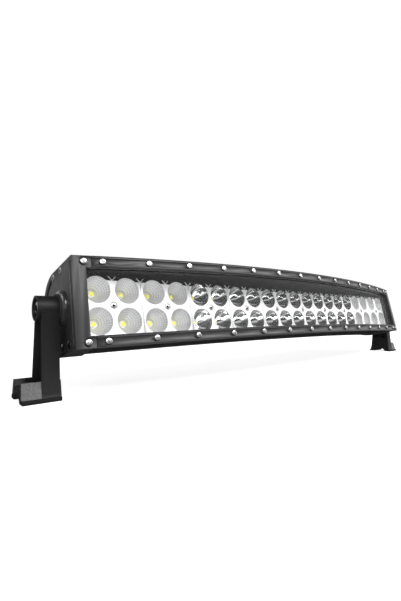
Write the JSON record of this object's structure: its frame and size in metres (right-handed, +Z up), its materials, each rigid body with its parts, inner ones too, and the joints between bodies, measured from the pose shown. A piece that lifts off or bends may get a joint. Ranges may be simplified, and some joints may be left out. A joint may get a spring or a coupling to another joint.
{
  "type": "led light bar",
  "caption": "Curved double-row LED light bar in a finned housing, hung between two swivel foot brackets.",
  "frame": {"origin": "midway between the two bracket mounting holes, on the plane the bracket feet stand on", "axes": "+X along the bar, -Y the way the light is thrown, +Z up from the mounting surface"},
  "size_m": [0.6228, 0.1115, 0.115],
  "materials": {
    "black_housing": "satin black anodised extrusion",
    "black_cap": "satin black powder-coated casting",
    "black_bezel": "satin black powder coat",
    "black_bracket": "satin black powder-coated casting, slightly rough",
    "clear_lens": "clear polycarbonate",
    "gasket_rubber": "soft matt black",
    "bright_reflector": "vacuum-metallised plastic",
    "led_board": "white solder mask on aluminium",
    "led_phosphor": "yellow phosphor under a clear dome",
    "driver_board": "green solder mask",
    "black_plastic": "moulded black nylon",
    "can_metal": "plain aluminium can",
    "stainless": "bright stainless steel"
  },
  "bodies": {
    "light_bar": {"housing": "black_housing", "lens_gasket": "gasket_rubber", "lens": "clear_lens", "top_bezel_strip": "black_bezel", "bottom_bezel_strip": "black_bezel", "top_strip_screws": "stainless", "bottom_strip_screws": "stainless", "left_cap_gasket": "gasket_rubber", "left_end_cap": "black_cap", "left_cap_screws": "stainless", "right_cap_gasket": "gasket_rubber", "right_end_cap": "black_cap", "right_cap_screws": "stainless", "corner_screws": "stainless", "led_boards": "led_board", "leds": "led_phosphor", "flood_reflector_1": "bright_reflector", "flood_reflector_2": "bright_reflector", "spot_reflector_3": "bright_reflector", "spot_reflector_4": "bright_reflector", "spot_reflector_5": "bright_reflector", "spot_reflector_6": "bright_reflector", "spot_reflector_7": "bright_reflector", "spot_reflector_8": "bright_reflector", "flood_reflector_9": "bright_reflector", "flood_reflector_10": "bright_reflector", "reflector_screws": "stainless", "driver_board": "driver_board", "driver_spacers": "stainless", "driver_screws": "stainless", "inductors": "black_plastic", "capacitors": "can_metal", "driver_chips": "black_plastic", "cable_gland": "black_plastic", "gland_nut": "black_plastic", "gland_seal": "gasket_rubber", "breather": "black_plastic", "breather_nut": "black_plastic", "left_cushion_washer": "gasket_rubber", "left_flat_washer": "stainless", "left_lock_washer": "stainless", "left_pivot_bolt": "stainless", "right_cushion_washer": "gasket_rubber", "right_flat_washer": "stainless", "right_lock_washer": "stainless", "right_pivot_bolt": "stainless"},
    "left_bracket": {"left_bracket": "black_bracket"},
    "right_bracket": {"right_bracket": "black_bracket"}
  },
  "joints": [
    {"name": "left_swivel", "type": "hinge", "parent": "light_bar", "child": "left_bracket", "pos_m": [-0.2907, 0, 0.0683], "axis": [1, 0, 0], "continuous": true},
    {"name": "right_swivel", "type": "hinge", "parent": "light_bar", "child": "right_bracket", "pos_m": [0.2907, 0, 0.0683], "axis": [1, 0, 0], "continuous": true}
  ]
}
